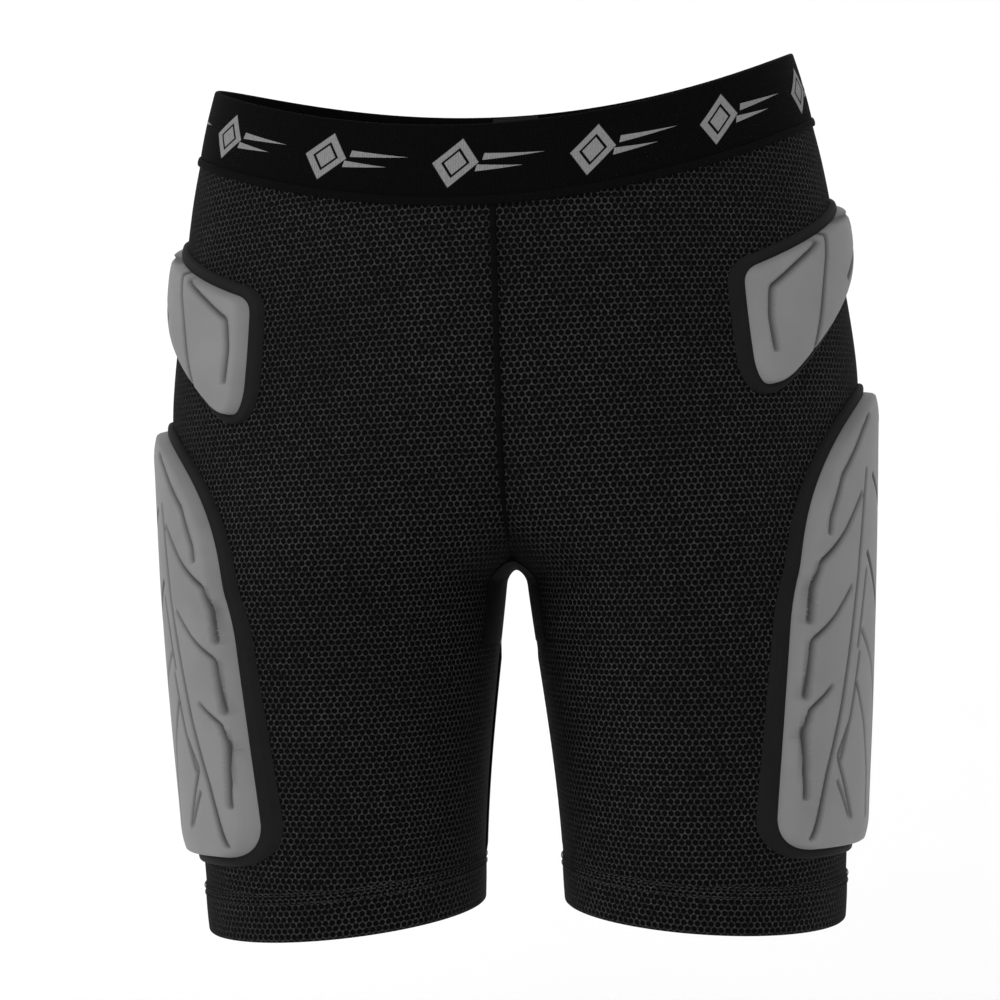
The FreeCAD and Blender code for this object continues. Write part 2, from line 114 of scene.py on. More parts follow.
def section(level):
    """The ellipse at each height: its middle and its reach, across and along."""
    outer, front, back = girth(level)
    inner = inner_reach(level, outer)
    return (outer + inner) / 2, (outer - inner) / 2, (back - front) / 2, (back + front) / 2


def surface(turn, level, out):
    """Points on the form: turn is 0 at the side and a quarter turn at the front, out is off the cloth."""
    mid_x, reach_x, mid_y, reach_y = section(level)
    x = mid_x + (reach_x + out) * np.cos(turn)
    y = mid_y - (reach_y + out) * np.sin(turn)
    return np.stack(np.broadcast_arrays(x, y, level), axis=-1)


def turn_at_depth(level, y):
    """The turn, on the outer side, where the form reaches a depth y."""
    middle, reach = section(level)[2:]
    return np.arcsin(np.clip((middle - y) / reach, -1, 1))


def turn_at_middle(level):
    """The turn where the form reaches the centre plane, or past all of the leg."""
    middle, reach = section(level)[:2]
    crossing = np.arccos(np.clip(-middle / reach, -1, 1))
    return np.where(middle >= reach, 2 * np.pi, crossing)


def waist_level(turn, above_seam):
    """The height of the line that runs a distance above the waist seam, at each turn."""
    level = np.full(np.shape(turn), FIRST_GUESS)
    for _ in range(SETTLING):
        y = surface(turn, level, 0)[..., 1]
        top = WAIST_ARC_LEVEL + np.sqrt(WAIST_ARC ** 2 - (y - WAIST_ARC_BACK) ** 2)
        level = top - BAND_HEIGHT + above_seam
    return level


def hem_level(turn, height):
    """The height of the tilted plane that lies a distance over the hem edge."""
    level = np.full(np.shape(turn), float(height))
    outer = GIRTHS[0][0]
    for _ in range(HEM_SETTLING):
        x = surface(turn, level, 0)[..., 0]
        level = (outer - x) * math.tan(HEM_TILT) + height / math.cos(HEM_TILT)
    return level


# ---------------------------------------------------------------- mesh helpers
def new_piece(name, points, faces, side=1, corner_uv=None, painted_groove_shade=None, crease=40):
    """A closed mesh object from points in millimetres, mirrored for the right side; painted groove shade
    darkens it.
    """
    points = np.asarray(points, float) * (side, 1, 1)
    lean = np.interp(points[:, 2], LEAN_LEVELS, LEANS)
    points[:, 2] += lean * points[:, 0]
    placed = (points - (0, 0, ORIGIN_LEVEL)) * MM
    mesh = bpy.data.meshes.new(name)
    mesh.from_pydata(placed.tolist(), [], faces)
    if corner_uv is not None:
        layer = mesh.uv_layers.new(name="cloth")
        layer.data.foreach_set("uv", (np.asarray(corner_uv, float) * MM).ravel())
    # A point attribute of painted shade for the grooves, read by the skin's finish.
    if painted_groove_shade is not None:
        mesh.attributes.new("groove", "FLOAT", "POINT").data.foreach_set("value", painted_groove_shade)
    work = bmesh.new()
    work.from_mesh(mesh)
    bmesh.ops.recalc_face_normals(work, faces=work.faces)
    work.to_mesh(mesh)
    work.free()
    mesh.shade_smooth()
    mesh.set_sharp_from_angle(angle=math.radians(crease))
    piece = bpy.data.objects.new(name, mesh)
    bpy.context.collection.objects.link(piece)
    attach(piece, "root")
    return piece


def grid_faces(rows, columns, first=0):
    """Quads of a grid of points that starts at a point number."""
    faces = []
    for r in range(rows - 1):
        for c in range(columns - 1):
            a = first + r * columns + c
            faces.append((a, a + 1, a + 1 + columns, a + columns))
    return faces


def grid_edge(rows, columns):
    """The border of a grid, in order."""
    loop = list(range(columns))
    loop += [r * columns + columns - 1 for r in range(1, rows)]
    loop += [(rows - 1) * columns + c for c in range(columns - 2, -1, -1)]
    loop += [r * columns for r in range(rows - 2, 0, -1)]
    return loop


def slab(name, outer, inner, uv, side=1):
    """A closed sheet between two grids of points; uv holds each point's place on the flat cloth."""
    rows, columns = outer.shape[:2]
    count = rows * columns
    faces = grid_faces(rows, columns) + grid_faces(rows, columns, count)
    loop = grid_edge(rows, columns)
    faces += [(a, b, b + count, a + count) for a, b in zip(loop, loop[1:] + loop[:1])]
    points = np.concatenate([outer.reshape(-1, 3), inner.reshape(-1, 3)])
    places = np.concatenate([uv.reshape(-1, 2)] * 2)
    return new_piece(name, points, faces, side, places[np.concatenate(faces)])


def hoop(name, rings, across, around, side=1):
    """A closed hoop: rings of points that run all the way round, the last ring joined to the first.
    across and around give the flat place of each ring and of each point round it, and of one more."""
    rows, columns = rings.shape[:2]
    faces = []
    places = []
    for r in range(rows):
        up = (r + 1) % rows
        for c in range(columns):
            on = (c + 1) % columns
            faces.append((r * columns + c, r * columns + on, up * columns + on, up * columns + c))
            places += [(around[c], across[r]), (around[c + 1], across[r])]
            places += [(around[c + 1], across[up]), (around[c], across[up])]
    return new_piece(name, rings.reshape(-1, 3), faces, side, places)


def lengths_along(points):
    """The distance from the first point to each point of a line, or of each row of a grid."""
    steps = np.linalg.norm(np.diff(points, axis=-2), axis=-1)
    start = np.zeros(steps.shape[:-1] + (1,))
    return np.concatenate([start, np.cumsum(steps, axis=-1)], axis=-1)


# ---------------------------------------------------------------- materials
def grey(value):
    return (value, value, value, 1)


class Net:
    """A node tree under construction."""

    def __init__(self, tree):
        self.tree = tree

    def add(self, kind, values=(), **settings):
        node = self.tree.nodes.new(kind)
        for key, value in settings.items():
            setattr(node, key, value)
        for socket, value in values:
            if isinstance(value, bpy.types.NodeSocket):
                self.tree.links.new(value, node.inputs[socket])
            else:
                node.inputs[socket].default_value = value
        return node

    def math(self, operation, first, second=0.0, third=0.0):
        values = ((0, first), (1, second), (2, third))
        return self.add("ShaderNodeMath", values, operation=operation).outputs[0]

    def vector(self, operation, first, second=(0, 0, 0)):
        node = self.add("ShaderNodeVectorMath", ((0, first), (1, second)), operation=operation)
        return node.outputs["Value"] if operation == "LENGTH" else node.outputs[0]

    def ramp(self, value, low, high, start=0.0, end=1.0):
        values = ((0, value), (1, low), (2, high), (3, start), (4, end))
        return self.add("ShaderNodeMapRange", values, interpolation_type="SMOOTHSTEP").outputs[0]

    def mix(self, factor, first, second):
        values = ((0, factor), (6, first), (7, second))
        return self.add("ShaderNodeMix", values, data_type="RGBA").outputs[2]

    def noise(self, place, scale, detail=3.0):
        values = (("Vector", place), ("Scale", scale), ("Detail", detail))
        return self.add("ShaderNodeTexNoise", values).outputs["Fac"]

    def cloth_place(self):
        return self.add("ShaderNodeUVMap", uv_map="cloth").outputs[0]

    def solid_place(self):
        return self.add("ShaderNodeTexCoord").outputs["Object"]


def effect(name, outputs, build):
    """A node group that works out named values; build gets the net and returns one socket for each."""
    tree = bpy.data.node_groups.new(name, "ShaderNodeTree")
    for output in outputs:
        tree.interface.new_socket(output, in_out="OUTPUT", socket_type="NodeSocketFloat")
    net = Net(tree)
    sockets = build(net)
    out = tree.nodes.new("NodeGroupOutput")
    for output, socket in zip(outputs, sockets):
        tree.links.new(socket, out.inputs[output])
    return tree


def finish_of(name, roughness, specular, sheen=0.0):
    """A new material, its net and its shader, with the even values set on the shader itself."""
    material = bpy.data.materials.new(name)
    material.use_nodes = True
    net = Net(material.node_tree)
    shader = material.node_tree.nodes["Principled BSDF"]
    shader.inputs["Roughness"].default_value = roughness
    shader.inputs["Specular IOR Level"].default_value = specular
    shader.inputs["Sheen Weight"].default_value = sheen
    shader.inputs["Sheen Roughness"].default_value = 0.4
    return material, net, shader


def colour_and_bump(net, shader, colour, height, distance, strength=1.0):
    """Joins a colour and a height to the shader."""
    net.tree.links.new(colour, shader.inputs["Base Color"])
    bump = net.add("ShaderNodeBump", (("Height", height), ("Distance", distance), ("Strength", strength)))
    net.tree.links.new(bump.outputs[0], shader.inputs["Normal"])


HOLE_PITCH = 0.0033
ROW = math.sqrt(3)


def hole_net(net):
    """Round holes in staggered rows: how far into a hole, and the height of the strands between."""
    place = net.vector("MULTIPLY", net.cloth_place(), (1 / HOLE_PITCH, 1 / HOLE_PITCH / ROW, 0))
    distances = []
    for shift in (0.0, 0.5):
        cell = net.vector("FRACTION", net.vector("ADD", place, (shift, shift, 0)))
        centred = net.vector("SUBTRACT", cell, (0.5, 0.5, 0))
        distances.append(net.vector("LENGTH", net.vector("MULTIPLY", centred, (1, ROW, 0))))
    distance = net.math("MINIMUM", *distances)
    hole = net.ramp(distance, 0.32, 0.42, 1.0, 0.0)
    strand = net.ramp(distance, 0.36, 0.52)
    return hole, strand


def knit_net(net):
    """Fine knitted loops: a height."""
    place = net.vector("MULTIPLY", net.cloth_place(), (1 / 0.0008, 1 / 0.0011, 0))
    parts = net.add("ShaderNodeSeparateXYZ", ((0, place),))
    zigzag = net.math("PINGPONG", parts.outputs[0], 0.5)
    loops = net.math("SINE", net.math("MULTIPLY", net.math("ADD", parts.outputs[1], zigzag), 2 * math.pi))
    wales = net.math("PINGPONG", parts.outputs[0], 0.5)
    return (net.math("ADD", net.math("MULTIPLY", loops, 0.3), wales),)


def rib_net(net):
    """Elastic: fine upright ribs crossed by thin picks: a height."""
    parts = net.add("ShaderNodeSeparateXYZ", ((0, net.cloth_place()),))
    ribs = net.math("SINE", net.math("MULTIPLY", parts.outputs[0], 2 * math.pi / 0.0013))
    picks = net.math("SINE", net.math("MULTIPLY", parts.outputs[1], 2 * math.pi / 0.0009))
    return (net.math("ADD", ribs, net.math("MULTIPLY", picks, 0.5)),)


MOTIF_REPEAT = 0.068
MOTIF_SHIFT = 0.0058


def motif_net(net):
    """A plain lozenge with an inner line, and two dashes beside it, repeated round the band: a mask."""
    parts = net.add("ShaderNodeSeparateXYZ", ((0, net.cloth_place()),))
    turns = net.math("FRACT", net.math("ADD", net.math("DIVIDE", parts.outputs[0], MOTIF_REPEAT),
                                       0.5 + MOTIF_SHIFT / MOTIF_REPEAT))
    across = net.math("MULTIPLY", net.math("SUBTRACT", turns, 0.5), MOTIF_REPEAT)
    up = net.math("SUBTRACT", parts.outputs[1], 0.0175)
    lean = net.math("SUBTRACT", across, net.math("MULTIPLY", up, 0.35))
    wide = net.math("DIVIDE", net.math("ABSOLUTE", net.math("ADD", lean, 0.012)), 0.0115)
    tall = net.math("DIVIDE", net.math("ABSOLUTE", up), 0.0115)
    reach = net.math("ADD", wide, tall)
    lozenge = net.ramp(reach, 0.97, 1.03, 1.0, 0.0)
    inner = net.ramp(net.math("ABSOLUTE", net.math("SUBTRACT", reach, 0.55)), 0.05, 0.09)
    mask = net.math("MULTIPLY", lozenge, inner)
    for middle, start, end in ((0.0026, 0.001, 0.0315), (-0.0026, -0.001, 0.022)):
        half = net.math("MULTIPLY", net.math("SUBTRACT", end, lean), 0.0016 / (end - start))
        line = net.math("ABSOLUTE", net.math("SUBTRACT", up, middle))
        inside = net.math("LESS_THAN", line, half)
        begun = net.math("GREATER_THAN", lean, start)
        mask = net.math("MAXIMUM", mask, net.math("MULTIPLY", inside, begun))
    return (mask,)


HOLES = effect("mesh_holes", ("Hole", "Strand"), hole_net)
KNIT = effect("fine_knit", ("Height",), knit_net)
RIBS = effect("elastic_ribs", ("Height",), rib_net)
MOTIF = effect("band_motif", ("Mask",), motif_net)


def grouped(net, tree):
    return net.add("ShaderNodeGroup", node_tree=tree)


def mesh_finish():
    """Black polyester mesh: charcoal strands round small dark holes, and painted shade at grazing angles."""
    material, net, shader = finish_of("black_mesh", 0.8, 0.05)
    holes = grouped(net, HOLES)
    soft = net.noise(net.solid_place(), 18.0)
    yarn = net.ramp(net.noise(net.solid_place(), 700.0), 0.3, 0.7)
    painted_shade_facing = net.add("ShaderNodeLayerWeight").outputs["Facing"]
    strand = net.mix(net.math("MULTIPLY", holes.outputs["Strand"], yarn), grey(0.004), grey(0.042))
    strand = net.mix(net.ramp(soft, 0.35, 0.7, 0.0, 0.3), strand, grey(0.005))
    colour = net.mix(holes.outputs["Hole"], strand, grey(0.0004))
    # Painted shade: the colour goes nearly black where the cloth is seen at a grazing angle, as at the inner
    # thighs.
    colour = net.mix(net.ramp(painted_shade_facing, 0.45, 0.95, 0.0, 0.9), colour, grey(0.0004))
    height = net.math("SUBTRACT", net.math("MULTIPLY", yarn, 0.25), holes.outputs["Hole"])
    colour_and_bump(net, shader, colour, height, 0.0006)
    return material


def closed_knit_finish(name, dark, light, roughness, sheen, bump):
    """A closed knit: fine loops and a soft unevenness."""
    material, net, shader = finish_of(name, roughness, 0.08, sheen)
    loops = grouped(net, KNIT).outputs[0]
    soft = net.noise(net.solid_place(), 60.0)
    factor = net.math("MULTIPLY_ADD", loops, 0.35, net.math("MULTIPLY", soft, 0.6))
    colour_and_bump(net, shader, net.mix(factor, grey(dark), grey(light)), loops, bump)
    return material


def elastic_finish():
    """Black jacquard elastic with a grey woven motif."""
    material, net, shader = finish_of("black_elastic", 0.8, 0.03)
    ribs = grouped(net, RIBS).outputs[0]
    mask = grouped(net, MOTIF).outputs[0]
    yarn = net.noise(net.solid_place(), 900.0)
    black = net.mix(yarn, grey(0.0005), grey(0.0025))
    light = net.mix(yarn, grey(0.13), grey(0.24))
    colour_and_bump(net, shader, net.mix(mask, black, light), ribs, 0.00012)
    return material


def ribbed_finish(name, dark, light, bump):
    """Woven tape or rubbery elastic: ribs both ways."""
    material, net, shader = finish_of(name, 0.75, 0.2)
    ribs = grouped(net, RIBS).outputs[0]
    soft = net.noise(net.solid_place(), 80.0)
    colour_and_bump(net, shader, net.mix(soft, grey(dark), grey(light)), ribs, bump)
    return material


def thread_finish(name, dark, light, pitch):
    """Sewing thread: slanted twists along the seam."""
    material, net, shader = finish_of(name, 0.8, 0.04)
    place = net.cloth_place() if name == "seam_thread" else net.solid_place()
    parts = net.add("ShaderNodeSeparateXYZ", ((0, place),))
    slant = net.math("ADD", parts.outputs[1], net.math("ABSOLUTE", parts.outputs[0]))
    twist = net.math("SINE", net.math("MULTIPLY", slant, 2 * math.pi / pitch))
    factor = net.math("MULTIPLY_ADD", twist, 0.5, 0.5)
    colour_and_bump(net, shader, net.mix(factor, grey(dark), grey(light)), twist, 0.0002)
    return material


def skin_finish():
    """Matte grey moulded foam skin: a fine grain, slight mottling, a paler bloom and painted shade in its
    grooves.
    """
    material, net, shader = finish_of("grey_pad_skin", 0.62, 0.35)
    place = net.solid_place()
    grain = net.noise(place, 1500.0, 2.0)
    mottle = net.noise(place, 45.0, 4.0)
    cloud = net.noise(place, 9.0, 2.0)
    groove = net.add("ShaderNodeAttribute", attribute_name="groove").outputs["Fac"]
    colour = net.mix(net.ramp(mottle, 0.3, 0.7), grey(0.138), grey(0.156))
    colour = net.mix(net.ramp(cloud, 0.35, 0.7, 0.0, 0.3), colour, grey(0.175))
    # Painted shade: the groove attribute darkens the skin in and beside each groove.
    colour = net.mix(groove, colour, grey(0.02))
    rough = net.math("MULTIPLY_ADD", mottle, 0.12, 0.55)
    net.tree.links.new(rough, shader.inputs["Roughness"])
    colour_and_bump(net, shader, colour, grain, 0.00012, 0.6)
    return material


def foam_finish():
    """Closed-cell foam: small cells, mid grey."""
    material, net, shader = finish_of("core_foam", 0.85, 0.2)
    place = net.solid_place()
    cells = net.add("ShaderNodeTexVoronoi", (("Vector", place), ("Scale", 700.0))).outputs["Distance"]
    colour_and_bump(net, shader, net.mix(cells, grey(0.2), grey(0.28)), cells, 0.0003)
    return material


MESH = mesh_finish()
CLOSED_KNIT = closed_knit_finish("stretch_knit", 0.001, 0.004, 0.85, 0.0, 0.0002)
BINDING = closed_knit_finish("binding_knit", 0.0045, 0.0095, 0.75, 0.02, 0.00008)
LINING = closed_knit_finish("lining_knit", 0.012, 0.03, 0.85, 0.05, 0.0002)
ELASTIC = elastic_finish()
TAPE = ribbed_finish("woven_tape", 0.004, 0.012, 0.0002)
GRIP = ribbed_finish("grip_rubber", 0.01, 0.025, 0.0002)
SEAM_THREAD = thread_finish("seam_thread", 0.0008, 0.003, 0.0012)
THREAD = thread_finish("stitch_thread", 0.012, 0.035, 0.0008)
PAD_SKIN = skin_finish()
FOAM = foam_finish()


def dress(piece, node, material):
    """The piece stands for a CAD node and takes its finish."""
    piece.data.materials.clear()
    piece.data.materials.append(material)
    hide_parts(node)


# ---------------------------------------------------------------- cloth panels
PANEL_COLUMNS = 64
GUSSET_LOW = 148
GUSSET_HALF_LENGTH = 40
TUCK = 1


def panel_edges(level_side, level_inner, front):
    """The turns at the side seam and at the inner edge of a panel."""
    start = turn_at_depth(level_side, SIDE_SEAM_BACK)
    sign = 1 if front else -1
    inseam = np.pi - sign * turn_at_depth(level_inner, SIDE_SEAM_BACK)
    inner = np.minimum(inseam, turn_at_middle(level_inner))
    notch = np.pi - sign * turn_at_depth(level_inner, -sign * (GUSSET_HALF_LENGTH - TUCK))
    inner = np.where(level_inner >= GUSSET_LOW, np.minimum(inner, notch), inner)
    return start, sign * inner


def panel_grid(front):
    """Turns and heights of one panel's points, from the side seam inwards and from the hem up."""
    low = HEM_DEPTH - TUCK
    rows = [np.linspace(low, GUSSET_LOW - 0.1, 26), np.linspace(GUSSET_LOW, 183, 9)]
    rows += [np.linspace(184, 200, 17)[:-1], np.linspace(200, 300, 24), np.linspace(304, 400, 26)]
    base = np.concatenate(rows)[:, None]
    across = np.linspace(0, 1, PANEL_COLUMNS)[None, :]
    level = base + 0 * across
    for _ in range(5):
        start, inner = panel_edges(level[:, :1], level[:, -1:], front)
        turn = start + (inner - start) * across
        foot = hem_level(turn, low)
        top = waist_level(turn, TUCK)
        near_foot = foot + (base - low) / (60 - low) * (60 - foot)
        near_top = 300 + (base - 300) / 100 * (top - 300)
        level = np.where(base < 60, near_foot, np.where(base > 300, near_top, base))
    return turn, level


def flat_places(turn, level, front):
    """Where each point lies on the flat cloth: across from the front of the form, and up."""
    points = surface(turn, level, 0)
    run = lengths_along(points[..., :2])
    sign = 1 if front else -1
    middle = section(level)[0]
    places = np.empty(turn.shape + (2,))
    for r in range(len(turn)):
        at_front = np.interp(QUARTER, sign * turn[r], run[r])
        places[r, :, 0] = np.interp(QUARTER, sign * turn[r], middle[r]) + at_front - run[r]
    places[..., 1] = level
    return places


def make_panels():
    """Front and back mesh panels of each leg."""
    for word, front in (("front", True), ("back", False)):
        turn, level = panel_grid(front)
        places = flat_places(turn, level, front)
        outer = surface(turn, level, 0)
        inner = surface(turn, level, -CLOTH)
        for hand, side in SIDES.items():
            name = f"{word}_panel_{hand}"
            piece = slab(f"mesh_{name}", outer, inner, places, side)
            dress(piece, name, MESH)


def make_gusset():
    """The closed-knit patch between the legs, bridged smoothly over the crotch."""
    depths = np.linspace(-GUSSET_HALF_LENGTH, GUSSET_HALF_LENGTH, 33)
    climb = np.linspace(0, 1, 25)
    grids = []
    for out in (0.35, -1.35):
        rows = []
        for y in depths:
            levels = np.linspace(CROTCH_LEVEL, 215, 200)
            mid_x, reach_x, mid_y, reach_y = section(levels)
            inner_x = mid_x - reach_x * np.sqrt(1 - ((y - mid_y) / reach_y) ** 2)
            peak = np.interp(0, -inner_x, levels)
            level = GUSSET_LOW - TUCK + (peak - GUSSET_LOW + TUCK) * climb
            mid_x, reach_x, mid_y, reach_y = section(level)
            x = mid_x - (reach_x + out) * np.sqrt(1 - ((y - mid_y) / (reach_y + out)) ** 2)
            half = np.stack([x, np.full_like(x, y), level - (out + 0.5) * climb ** 4], axis=-1)
            line = np.concatenate([half, half[-2::-1] * (-1, 1, 1)])
            for _ in range(3):
                line[1:-1] = (line[:-2] + 2 * line[1:-1] + line[2:]) / 4
            rows.append(line)
        grids.append(np.stack(rows))
    run = lengths_along(grids[0])
    places = np.stack([run, np.repeat(depths[:, None], run.shape[1], axis=1)], axis=-1)
    piece = slab("gusset_patch", grids[0], grids[1], places)
    dress(piece, "crotch_gusset", CLOSED_KNIT)


# ---------------------------------------------------------------- loops: waistband, hems and tapes
LOOP_COLUMNS = 180
# How far the outer and inner faces are off the cloth; the seam and the grip start with their two heights.
BAND_FACES = (0.6, -1.8)
HEM_FACES = (0.55, -1.95)
WAIST_SEAM = (-2.4, 1.8, 1.5, 0.3)
GRIP_BAND = (3.5, 21.5, -2.1, -3.3)


def band_profile(low, high, outer, inner, crown=0.0, steps=12):
    """The cross-section of a band with rounded edges: (height, distance out) pairs, all the way round."""
    half = (outer - inner) / 2
    middle = (outer + inner) / 2
    profile = []
    for f in np.linspace(0, 1, steps):
        profile.append((low + half + (high - low - 2 * half) * f, outer + crown * math.sin(math.pi * f)))
    for bend in (60, 30, 0, -30, -60):
        lift = math.radians(bend)
        profile.append((high - half + half * math.cos(lift), middle + half * math.sin(lift)))
    for f in np.linspace(1, 0, steps):
        profile.append((low + half + (high - low - 2 * half) * f, inner))
    for bend in (-60, -30, 0, 30, 60):
        lift = math.radians(bend)
        profile.append((low + half - half * math.cos(lift), middle + half * math.sin(lift)))
    return profile


def loop_turns(columns):
    """Turns all the way round, from the back, and one more that closes the loop."""
    return np.linspace(-QUARTER, 3 * QUARTER, columns + 1)


def waist_hoop(name, profile, columns=LOOP_COLUMNS):
    """A hoop round the waist: heights are measured down to up along the band from the seam."""
    turn = loop_turns(columns)
    rings = []
    for height, out in profile:
        level = waist_level(turn, height)
        rings.append(surface(turn, level, out))
    rings = np.stack(rings)
    around = lengths_along(rings[0][:, :2])
    around = np.interp(QUARTER, turn, around) - around
    return hoop(name, rings[:, :-1], [height for height, out in profile], around)


def hem_hoop(name, profile, side, columns=LOOP_COLUMNS):
    """A hoop round a leg opening: heights are measured up from the hem edge."""
    turn = np.linspace(0, 2 * np.pi, columns + 1)
    rings = np.stack([surface(turn, hem_level(turn, height), out) for height, out in profile])
    around = lengths_along(rings[0][:, :2])
    middle = section(np.array(10.0))[0]
    around = middle + np.interp(QUARTER, turn, around) - around
    return hoop(name, rings[:, :-1], [height for height, out in profile], around, side)


def make_waistband():
    """The elastic loop and the cover seam under it."""
    band = waist_hoop("elastic_waistband", band_profile(0, BAND_HEIGHT, *BAND_FACES, 0.5, 14))
    dress(band, "waistband_elastic", ELASTIC)
    seam = waist_hoop("cover_seam_waist", band_profile(*WAIST_SEAM, 0.25, 6))
    dress(seam, "waist_seam", SEAM_THREAD)


def make_hems():
    """Doubled mesh at each leg opening, its grip elastic and its rows of cover stitching."""
    for hand, side in SIDES.items():
        band = hem_hoop(f"hem_{hand}", band_profile(0, HEM_DEPTH, *HEM_FACES, 0.25, 8), side)
        dress(band, f"hem_band_{hand}", MESH)
        grip = hem_hoop(f"grip_elastic_{hand}", band_profile(*GRIP_BAND, 0, 8), side)
        dress(grip, f"hem_elastic_{hand}", GRIP)
        make_hem_stitches(hand, side)


STITCH_SIDES = 6


def stitch_points():
    """One stitch along X: a short rounded thread."""
    rings = []
    for along, size in ((-1.0, 0.35), (-0.75, 0.8), (0.0, 1.0), (0.75, 0.8), (1.0, 0.35)):
        around = np.linspace(0, 2 * np.pi, STITCH_SIDES + 1)[:-1]
        rings.append([(along, size * math.cos(a), size * math.sin(a)) for a in around])
    return np.array(rings).reshape(-1, 3)


def stitch_run(name, points, outward, length, thickness, side=1):
    """Stitches laid end to end along a line of points, each along the line and proud of the cloth."""
    pattern = stitch_points()
    count = len(pattern)
    rings = count // STITCH_SIDES
    around = [[r * STITCH_SIDES + c for c in range(STITCH_SIDES)] for r in range(rings)]
    verts = []
    faces = []
    for i in range(len(points) - 1):
        along = points[i + 1] - points[i]
        along = along / np.linalg.norm(along)
        out = outward[i] / np.linalg.norm(outward[i])
        across = np.cross(out, along)
        place = (points[i] + points[i + 1]) / 2
        base = len(verts) * count
        verts.append(place + pattern[:, :1] * along * length / 2 + pattern[:, 1:2] * across * thickness * 0.7
                     + pattern[:, 2:] * out * thickness / 2)
        for low, high in zip(around, around[1:]):
            for c in range(STITCH_SIDES):
                d = (c + 1) % STITCH_SIDES
                faces.append((base + low[c], base + low[d], base + high[d], base + high[c]))
        faces.append(tuple(base + v for v in reversed(around[0])))
        faces.append(tuple(base + v for v in around[-1]))
    return new_piece(name, np.concatenate(verts), faces, side)


# Heights of the two rows of stitches over the hem edge.
STITCH_HEIGHTS = (19.6, 23.2)


def make_hem_stitches(hand, side):
    """Two rows of stitches near the top of a hem band."""
    turn = np.linspace(0, 2 * np.pi, 151)
    runs = []
    for height in STITCH_HEIGHTS:
        level = hem_level(turn, height)
        points = surface(turn, level, 1.0)
        outward = surface(turn, level, 5.0) - points
        runs.append(stitch_run(f"stitches_{hand}_{round(height)}", points, outward, 2.5, 0.6, side))
    merged = join(runs, f"hem_stitches_{hand}")
    dress(merged, f"hem_stitching_{hand}", THREAD)


def join(pieces, name):
    """Several objects made one."""
    bpy.ops.object.select_all(action="DESELECT")
    for piece in pieces:
        piece.select_set(True)
    bpy.context.view_layer.objects.active = pieces[0]
    bpy.ops.object.join()
    pieces[0].name = name
    pieces[0].data.name = name
    return pieces[0]


# ---------------------------------------------------------------- raised seams
SEAM_END = 10


def ridge(name, points, outward, width, height, side=1):
    """A flattened half-round seam swept along a line on the cloth."""
    along = np.gradient(points, axis=0)
    along /= np.linalg.norm(along, axis=1)[:, None]
    out = outward / np.linalg.norm(outward, axis=1)[:, None]
    across = np.cross(out, along)
    profile = [(-1.0, -0.6), (-0.92, 0.35), (-0.6, 0.85), (0, 1.0), (0.6, 0.85), (0.92, 0.35), (1.0, -0.6)]
    run = lengths_along(points)
    full = np.clip(np.minimum(run, run[-1] - run) / SEAM_END, 0.1, 1)[:, None]
    lines = [points + across * a * width / 2 + out * h * height * full for a, h in profile]
    rings = np.stack(lines, axis=1)
    rows, columns = rings.shape[:2]
    faces = []
    for r in range(rows - 1):
        for c in range(columns):
            d = (c + 1) % columns
            faces.append((r * columns + c, r * columns + d, (r + 1) * columns + d, (r + 1) * columns + c))
    faces.append(tuple(range(columns)))
    faces.append(tuple((rows - 1) * columns + c for c in reversed(range(columns))))
    sideways = np.tile(np.linspace(-width / 2, width / 2, columns), rows)
    places = np.stack([sideways, np.repeat(run, columns)], axis=-1)
    return new_piece(name, rings.reshape(-1, 3), faces, side, places[np.concatenate(faces)])


def make_seams():
    """Front and back rise seams and the inseams."""
    for word, sign in (("front", 1), ("back", -1)):
        top = 364 if sign > 0 else 401
        level = np.linspace(191, top, 120)
        turn = sign * turn_at_middle(level)
        points = surface(turn, level, 0.2) * (0, 1, 1)
        outward = np.tile((0.0, -sign, 0.0), (len(level), 1))
        seam = ridge(f"rise_seam_{word}", points, outward, 3.4, 1.3)
        dress(seam, f"{word}_rise_seam", SEAM_THREAD)
    level = np.linspace(29, GUSSET_LOW - 1, 60)
    turn = np.pi - turn_at_depth(level, SIDE_SEAM_BACK)
    points = surface(turn, level, 0.2)
    outward = surface(turn, level, 5) - points
    for hand, side in SIDES.items():
        seam = ridge(f"leg_seam_{hand}", points, outward, 3.2, 1.2, side)
        dress(seam, f"inseam_{hand}", SEAM_THREAD)


def make_tapes():
    """The join tape and the blank label inside the centre back."""
    for name, node, low, high, half, face, thick in (
            ("join_tape", "waistband_join_tape", 1, 35, 13, -1.95, 0.9),
            ("blank_label", "care_label", -39, 0.5, 16, -2.3, 0.6)):
        rows = np.linspace(low, high, 14)
        xs = np.linspace(-half, half, 12)
        heights, across = np.meshgrid(rows, xs, indexing="ij")
        turn = -np.arccos(across / 150.0)
        grids = []
        for out in (face, face - thick):
            level = waist_level(turn, heights)
            grids.append(surface(turn, level, out))
        piece = slab(name, grids[0], grids[1], np.stack([across, heights], axis=-1))
        dress(piece, node, TAPE)


# ---------------------------------------------------------------- outlines of the pads
BINDING_WIDTH = 6
# The skin laps over the border, and the border runs on under the skin.
SKIN_LAP = 1.2
BINDING_TUCK = 2.5
# The skin's edge and back, and the core's back, off the cloth; then the lining's two faces inside it.
SKIN_EDGE = 3.6
SKIN_BACK = 0.9
CORE_BACK = 0.3
LINING_FACES = (-2.05, -2.85)
